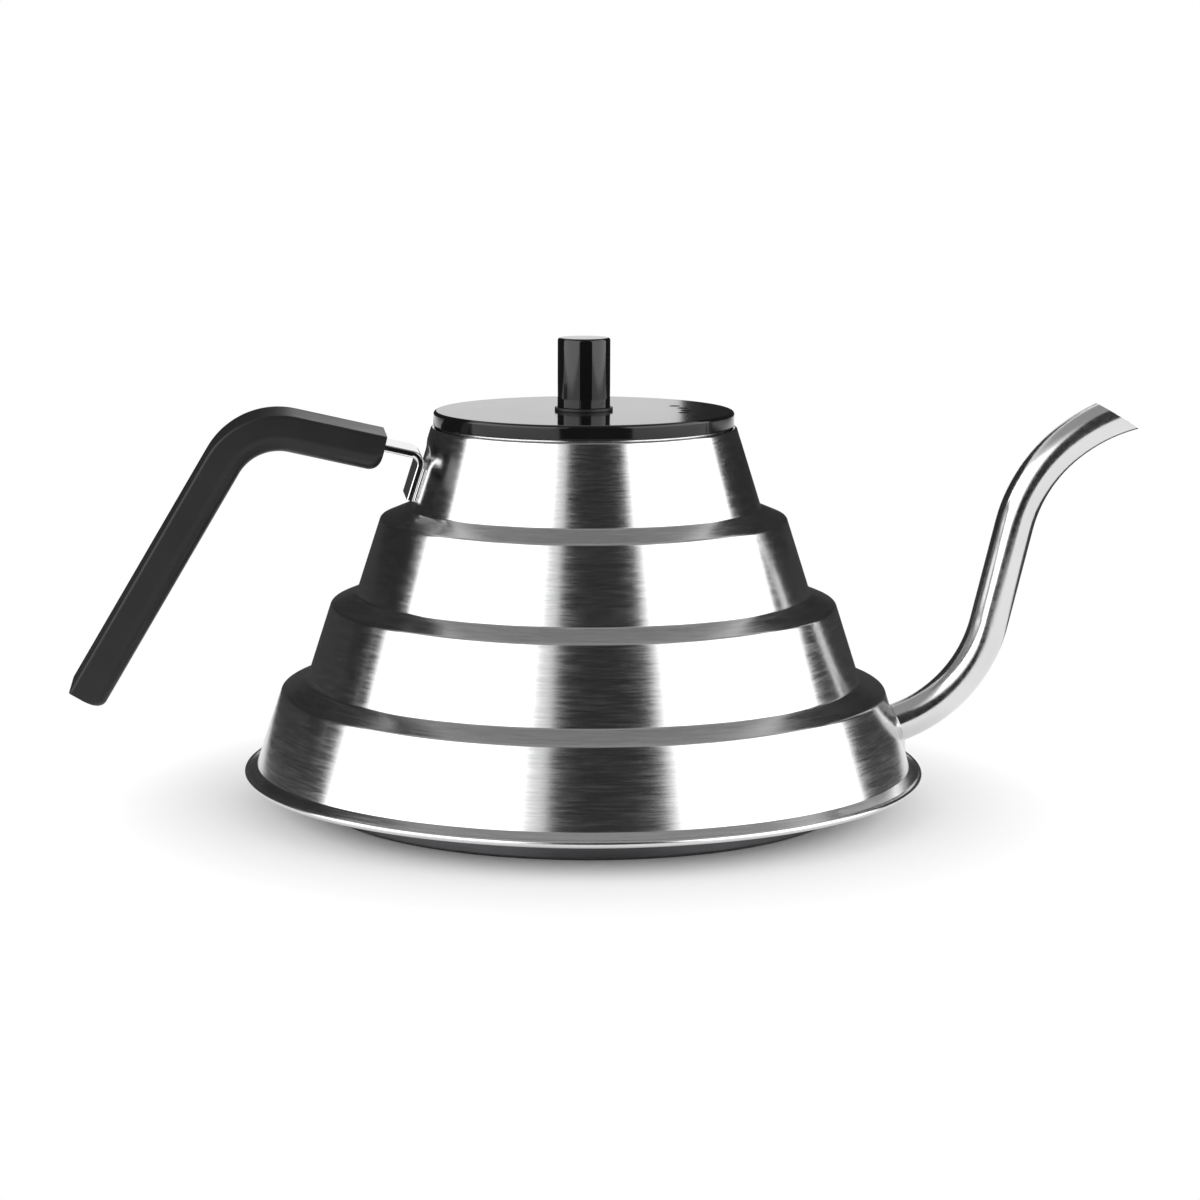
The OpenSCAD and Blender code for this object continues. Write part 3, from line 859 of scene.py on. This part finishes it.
class KETTLE_OT_body(bpy.types.Operator):
    """Turn the stepped body, press the handle's flat into it and draw out the spout's collar"""

    bl_idname = "kettle.body"
    bl_label = "Body"

    def execute(self, context):
        body, spout, finish = groups(context, "body", "spout", "finish")
        roll = mouth_roll(body)
        spacing = 1.3 * MM
        skin = filled_in([roll[-1]] + body_skin(body)[1:], spacing)
        inside = beside(skin, -body.wall)
        shell = turned("stepped_body", roll[:-1] + skin + inside[::-1], segments=360)
        for v in shell.data.vertices:
            v.select = v.normal.xy.dot(v.co.xy) < 0  # the inner face, pressed one wall deeper
        pressed_pad(shell, body)
        raised_collar(shell, body, spout)
        joined(shell, self.neck(spout))
        steel = brushed_round("body_steel", finish.steel, roughness=0.2, anisotropy=0.6, streak_depth=0.13)
        finished(shell, "kettle", steel, "body_shell")
        return {"FINISHED"}

    def neck(self, spout):
        """The thin lip of the collar that the tube is welded to."""
        # How far out from the tube, and how high, in millimetres.
        lip = ((1.3, -0.9), (0.62, -0.28), (0.36, 0), (0.08, 0.06), (0.04, -0.25), (0.04, -1.2), (0.7, -1.4))
        outline = [Vector((spout.outer_radius + out * MM, up * MM)) for out, up in lip]
        lean = Matrix.Rotation(math.pi / 2 - spout.root_slope, 4, "Y")
        place = Matrix.Translation((spout.root_x, 0, spout.root_z)) @ lean
        return carried(turned("neck", outline, segments=96), place)


# ---- operators: the base ----

class KETTLE_OT_base(bpy.types.Operator):
    """Turn the base pan with its rolled rim, and the cap under the heat disc"""

    bl_idname = "kettle.base"
    bl_label = "Base"

    def execute(self, context):
        body, base, finish = groups(context, "body", "base", "finish")
        floor = base.cap_thickness + base.disc_thickness
        self.pan(body, base, finish, floor + body.wall)
        self.cap(base, finish, floor)
        dressed(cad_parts["heat_disc"], satin_metal("disc_aluminium", finish.aluminium, roughness=0.4))
        return {"FINISHED"}

    def pan(self, body, base, finish, floor):
        """The sheet from the middle out, up to the flange and round the roll, and back under itself."""
        gap, dish_bend, seam_bend = 0.05 * MM, 1.5 * MM, 0.7 * MM
        seam, edge = beside(body_skin(body), -body.wall - gap)[-2:]
        roll_start, roll_end = math.radians(100), math.radians(-110)
        flat_end, dish_end, dish_height = base.cap_radius - 1 * MM, base.cap_radius + 3 * MM, 5.4 * MM
        below_seam = seam - Vector((2.6, 3.6)) * MM
        upper = rounded(
            points((0, floor), (flat_end, floor), (dish_end, dish_height), below_seam, seam, edge),
            [dish_bend, dish_bend, dish_bend, seam_bend])
        lower = beside(upper, -body.wall)
        centre = Vector((base.rim_radius - base.rim_roll, body.flange_height - base.rim_roll))
        roll = arc(centre, base.rim_roll, roll_start, roll_end, 20)
        pan = turned("rolled_base", upper[:-1] + roll + lower[-3::-1], segments=256)
        steel = brushed_round("rim_steel", finish.bright, roughness=0.2, anisotropy=0.5, streak_depth=0.03)
        finished(pan, "kettle", steel, "base_pan")

    def cap(self, base, finish, floor):
        gap, corner_bend = 0.2 * MM, 0.8 * MM
        out = rounded(points((0, 0), (base.cap_radius, 0), (base.cap_radius, floor - gap)), [corner_bend])
        cap = turned("bottom_cap", out + beside(out, base.cap_thickness)[::-1], segments=256)
        # The dark cap colour is painted shade: it stands in for the shadow under the kettle.
        steel = brushed_round("cap_steel_painted_shade", finish.cap, roughness=0.38, anisotropy=0.5, streak_depth=0.08)
        finished(cap, "kettle", steel, "base_cap")


# ---- operators: the spout ----

class KETTLE_OT_spout(bpy.types.Operator):
    """Bend the spout tube and cut its tip"""

    bl_idname = "kettle.spout"
    bl_label = "Spout"

    def execute(self, context):
        spout, finish = groups(context, "spout", "finish")
        past = 2 * MM
        line = spout_line(spout, past)
        tube = self.tube(line, spout)
        self.cut_tip(tube, after_straight(line[-1], -past - spout.cut_setback), spout)
        steel = satin_metal("spout_steel", finish.bright, roughness=0.17)
        finished(tube, "kettle", steel, "spout_tube")
        return {"FINISHED"}

    def tube(self, line, spout):
        """A flat ring at the root, carried along the stations."""
        x, z, angle = line[0]
        circles = []
        for radius in (spout.outer_radius, spout.outer_radius - spout.wall):
            circles.append(added(
                bpy.ops.mesh.primitive_circle_add, "bent_spout", vertices=64, radius=radius,
                location=(x, 0, z), rotation=(0, math.pi / 2 - angle, 0)))
            settle(circles[-1])
        tube = joined(*circles)
        edit()
        bpy.ops.mesh.bridge_edge_loops()
        bpy.ops.mesh.select_all(action="SELECT")
        extruded_along(full_depth(line))
        tidy_shell(tube)
        return tube

    def cut_tip(self, tube, station, spout):
        """Cuts the tube at the tip's plane and closes the cut between its two faces."""
        x, z, _ = station
        normal = (math.sin(spout.cut_slope), 0, math.cos(spout.cut_slope))
        only(tube)
        edit()
        bpy.ops.mesh.bisect(plane_co=(x, 0, z), plane_no=normal, clear_outer=True, use_fill=False)
        select_open_edges()
        bpy.ops.mesh.bridge_edge_loops()
        tidy_shell(tube)


# ---- operators: the handle ----

class KETTLE_OT_strap(bpy.types.Operator):
    """Bend the steel strap and cut the plate behind it"""

    bl_idname = "kettle.strap"
    bl_label = "Strap"

    def execute(self, context):
        body, handle, finish = groups(context, "body", "handle", "finish")
        steel = satin_metal("strap_steel", finish.bright, roughness=0.09)
        inner = body.pad_depth - handle.plate_thickness
        turn = strap_turn(body, handle)
        leg = handle.strap_foot - handle.strap_corner - handle.strap_bend * math.tan(turn / 2)
        strap = self.strap(handle, inner, turn, leg)
        carried(strap, on_top_tier(body))
        finished(strap, "kettle", steel, "handle_strap")

        plate = added(bpy.ops.mesh.primitive_cube_add, "strap_plate", size=1)
        plate.scale = (handle.plate_thickness, handle.strap_width, leg)
        plate.location = (inner + handle.plate_thickness / 2, 0, -handle.strap_foot + leg / 2)
        settle(plate)
        apply_modifier(plate, "BEVEL", width=0.2 * MM, segments=3)
        carried(plate, on_top_tier(body))
        finished(plate, "kettle", steel, "handle_backplate")
        return {"FINISHED"}

    def strap(self, handle, inner, turn, leg):
        """Up the leg, round the bend and out into the grip, in the top tier's frame."""
        foot = (inner, -handle.strap_foot, math.pi / 2)
        line = [foot, after_straight(foot, leg)]
        line += bend_stations(line[-1], math.pi / 2 + turn, handle.strap_bend, math.radians(7))
        line.append(after_straight(line[-1], handle.strap_reach + handle.tang_length))
        section = bar_section(handle.strap_width, -handle.strap_thickness, [handle.strap_edge] * 4, 4)
        return swept("pressed_strap", section, full_depth(line))


def bar_section(width, depth, radii, steps):
    """A rounded rectangle of (down, across) points, from its top face to its depth."""
    half = width / 2
    return rounded_loop(points((0, -half), (depth, -half), (depth, half), (0, half)), radii, steps)


class KETTLE_OT_grip(bpy.types.Operator):
    """Bend the moulded grip and set its screws and washers"""

    bl_idname = "kettle.grip"
    bl_label = "Grip"

    def execute(self, context):
        body, handle, finish = groups(context, "body", "handle", "finish")
        grip = self.bar(handle)
        strap = on_strap(body, handle)
        front = Matrix.Translation((0, 0, handle.strap_reach))
        self.pockets(grip, handle)
        carried(grip, strap @ front @ Matrix.Translation((handle.tang_cover, 0, 0)))
        black = moulded_black("grip_black", finish.black, roughness=0.4, grain=1500.0, depth=0.12, sheen=0.4)
        finished(grip, "kettle", black, "handle_grip", angle=math.radians(32))
        self.screws(handle, finish, strap @ front)
        return {"FINISHED"}

    def bar(self, handle):
        """The bar in its own frame: local Z along it, local X up out of its top face."""
        t = handle.grip_thickness
        radii = [handle.top_edge, handle.under_edge, handle.under_edge, handle.top_edge]
        front = (0, 0, 0)
        upper_end = after_straight(front, handle.grip_upper)
        bending = bend_stations(upper_end, -handle.strap_slope - handle.grip_leg_slope, handle.grip_bend)
        foot = after_straight(bending[-1], handle.grip_lower)
        line = [after_straight(front, run) + (depth,) for run, depth in self.end(handle.front_round, t)]
        line += full_depth([upper_end] + bending)
        line += [after_straight(foot, -run) + (depth,) for run, depth in self.end(handle.foot_round, t)[::-1]]
        bar = swept("moulded_grip", bar_section(handle.grip_width, t, radii, 8), line)
        return carried(bar, Matrix(((0, 0, 1, 0), (0, -1, 0, 0), (1, 0, 0, 0), (0, 0, 0, 1))))

    def end(self, radius, thickness, steps=8):
        """How far in from a rounded end each ring lies, and the share of the bar's depth there."""
        angles = [math.pi / 2 * i / steps for i in range(steps + 1)]
        return [(radius * (1 - math.cos(a)), 1 - radius * (1 - math.sin(a)) / thickness) for a in angles]

    def pockets(self, grip, handle):
        """Cuts the pockets over the two screws."""
        for along in (handle.screw_first, handle.screw_second):
            cut_away(grip, added(
                bpy.ops.mesh.primitive_cylinder_add, "pocket", vertices=48,
                radius=handle.screw_head + 0.35 * MM, depth=2 * handle.screw_recess,
                location=(-handle.grip_thickness, 0, along), rotation=(0, math.pi / 2, 0)))

    def screws(self, handle, finish, front):
        """The screws up into the strap, and their washers, placed from the grip's front."""
        steel = satin_metal("fastener_steel", finish.bright, roughness=0.25)
        play = 0.1 * MM
        seat = handle.tang_cover - handle.grip_thickness + handle.screw_recess
        up = Matrix.Rotation(math.pi / 2, 4, "Y") @ Matrix.Translation((0, 0, seat - handle.washer_thickness))
        heads, washers = [], []
        for along in (handle.screw_first, handle.screw_second):
            place = front @ Matrix.Translation((0, 0, along)) @ up
            run = handle.washer_thickness - seat
            heads.append(screw(place, handle.screw_radius, run, handle.screw_head, handle.screw_head_height))
            washers.append(washer(
                place, handle.screw_head + play, handle.screw_radius + play, handle.washer_thickness))
        for name, node, parts in (
            ("screw_pair", "grip_screws", heads), ("washer_pair", "grip_washers", washers),
        ):
            finished(named(joined(*parts), name), "kettle", steel, node)


def screw(place, radius, run, head_radius, head_height):
    """A pan-head screw with a cross recess. Its shank runs along local Z from its head's underside."""
    chamfer = 0.3 * MM
    crown_round, crown_rise = 0.45 * head_height, 0.35 / 3 * head_height
    slot = (1.15 * head_radius, 0.24 * head_radius, 1.1 * head_height)
    crown = Vector((0, -head_height))
    shoulder = Vector((head_radius, -head_height + crown_rise))
    outline = points(
        (0, run), (radius - chamfer, run), (radius, run - chamfer), (radius, 0), (head_radius, 0))
    outline += bend(outline[-1], shoulder, crown, crown_round, 8) + [crown]
    obj = turned("screw", outline, segments=64)
    for angle in (0, math.pi / 2):
        cutter = added(
            bpy.ops.mesh.primitive_cube_add, "recess", size=1, location=(0, 0, -head_height),
            rotation=(0, 0, angle))
        cutter.scale = slot
        cut_away(obj, cutter)
    return carried(obj, place)


def washer(place, outer, inner, thickness):
    """A flat washer with broken edges, from local Z 0 upwards."""
    edge = 0.12 * thickness
    corners = points((inner, 0), (outer, 0), (outer, thickness), (inner, thickness))
    return carried(turned("washer", rounded_loop(corners, [edge] * 4, steps=3), segments=64), place)


# ---- operators: the lid ----

def raised(height):
    return Matrix.Translation((0, 0, height))


def solid_round(name, radius, low, high, low_edge, high_edge, segments):
    """A disc or cylinder about the kettle's axis, with both edges rounded."""
    outline = rounded(points((0, low), (radius, low), (radius, high), (0, high)), [low_edge, high_edge])
    return turned(name, outline, segments)


class KETTLE_OT_lid(bpy.types.Operator):
    """Turn the lid disc and the plug under it, and drill the steam vents through both"""

    bl_idname = "kettle.lid"
    bl_label = "Lid"

    def execute(self, context):
        lid, finish = groups(context, "lid", "finish")
        under = lid.top - lid.thickness
        disc = solid_round("lid_plate", lid.radius, under, lid.top, 0.4 * MM, 0.8 * MM, segments=256)
        self.drill(disc, lid)
        gloss = moulded_black("lid_gloss", finish.gloss, roughness=0.1, grain=2600.0, depth=0.01)
        finished(disc, "lid", gloss, "lid_disc")

        floor = under - lid.plug_depth
        inner = lid.plug_radius - lid.cup_wall
        floor_bend, flange_bend = 2 * MM, 0.8 * MM
        corners = points((0, floor), (inner, floor), (inner, under), (lid.cup_flange, under))
        face = rounded(corners, [floor_bend, flange_bend])
        cup = turned("lid_plug", face + beside(face, -lid.cup_wall)[::-1])
        self.drill(cup, lid)
        steel = brushed_round("cup_steel", finish.bright, roughness=0.24, anisotropy=0.5, streak_depth=0.04)
        finished(cup, "lid", steel, "lid_cup")
        return {"FINISHED"}

    def drill(self, obj, lid):
        for i in range(lid.vents):
            angle = (i - (lid.vents - 1) / 2) * lid.vent_pitch
            place = (lid.vent_ring * math.cos(angle), lid.vent_ring * math.sin(angle), lid.top)
            cut_away(obj, added(
                bpy.ops.mesh.primitive_cylinder_add, "drill", vertices=40, radius=lid.vent_diameter / 2,
                depth=30 * MM, location=place))


class KETTLE_OT_knob(bpy.types.Operator):
    """Turn the knob and its seal, and set the screw and washers that hold it"""

    bl_idname = "kettle.knob"
    bl_label = "Knob"

    def execute(self, context):
        lid, finish = groups(context, "lid", "finish")
        foot = lid.top + lid.seal_thickness
        top = lid.top + lid.knob_height
        knob = solid_round("turned_knob", lid.knob_radius, foot, top, 0.2 * MM, 0.7 * MM, segments=128)
        gloss = moulded_black("knob_gloss", finish.gloss, roughness=0.05, grain=2600.0, depth=0.01)
        finished(knob, "lid", gloss, "lid_knob")

        bore = lid.screw_radius + 0.2 * MM
        seal = washer(raised(lid.top), lid.seal_radius, bore, lid.seal_thickness)
        rubber = moulded_black("seal_rubber", finish.black, roughness=0.45, grain=1800.0, depth=0.1)
        finished(named(seal, "seal_ring"), "lid", rubber, "knob_seal")
        screw_reach = 9 * MM
        self.fasteners(lid, finish, foot + screw_reach)
        dressed(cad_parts["knob_insert"], satin_metal("insert_brass", finish.brass, roughness=0.3))
        return {"FINISHED"}

    def fasteners(self, lid, finish, screw_top):
        """The flat washer under the plug, the spring washer under that, and the screw through both."""
        steel = satin_metal("knob_fastener_steel", finish.bright, roughness=0.25)
        hole = lid.screw_radius + 0.1 * MM
        flat_z = lid.top - lid.thickness - lid.plug_depth - lid.cup_wall - lid.washer_thickness
        spring_z = flat_z - lid.spring_thickness
        flat = washer(raised(flat_z), lid.washer_radius, hole, lid.washer_thickness)
        spring = washer(raised(spring_z), lid.spring_radius, hole, lid.spring_thickness)
        bolt = screw(
            raised(spring_z), lid.screw_radius, screw_top - spring_z, lid.screw_head, lid.screw_head_height)
        for name, node, piece in (
            ("flat_washer", "knob_washer", flat), ("spring_washer", "knob_spring_washer", spring),
            ("pan_screw", "knob_screw", bolt),
        ):
            finished(named(piece, name), "lid", steel, node)


# ---- the panel, and the order of making ----

PIECES = (
    KETTLE_OT_body, KETTLE_OT_base, KETTLE_OT_spout, KETTLE_OT_strap, KETTLE_OT_grip, KETTLE_OT_lid,
    KETTLE_OT_knob,
)


class KETTLE_PT_panel(bpy.types.Panel):
    bl_label = "Kettle"
    bl_space_type = "VIEW_3D"
    bl_region_type = "UI"
    bl_category = "Kettle"

    def draw(self, context):
        column = self.layout.column()
        for operator in (KETTLE_OT_stage,) + PIECES:
            column.operator(operator.bl_idname)


CLASSES = tuple(GROUPS.values()) + (KETTLE_OT_stage,) + PIECES + (KETTLE_PT_panel,)


def register():
    for cls in CLASSES:
        bpy.utils.register_class(cls)
    for name, group in GROUPS.items():
        setattr(bpy.types.Scene, name, PointerProperty(type=group))


def unregister():
    for name in GROUPS:
        delattr(bpy.types.Scene, name)
    for cls in reversed(CLASSES):
        bpy.utils.unregister_class(cls)


def main():
    register()
    bpy.context.scene.view_settings.view_transform = "Standard"
    bpy.ops.kettle.stage()
    bpy.ops.kettle.body()
    bpy.ops.kettle.base()
    bpy.ops.kettle.spout()
    bpy.ops.kettle.strap()
    bpy.ops.kettle.grip()
    bpy.ops.kettle.lid()
    bpy.ops.kettle.knob()
    nothing_selected()


if __name__ == "__main__":
    main()
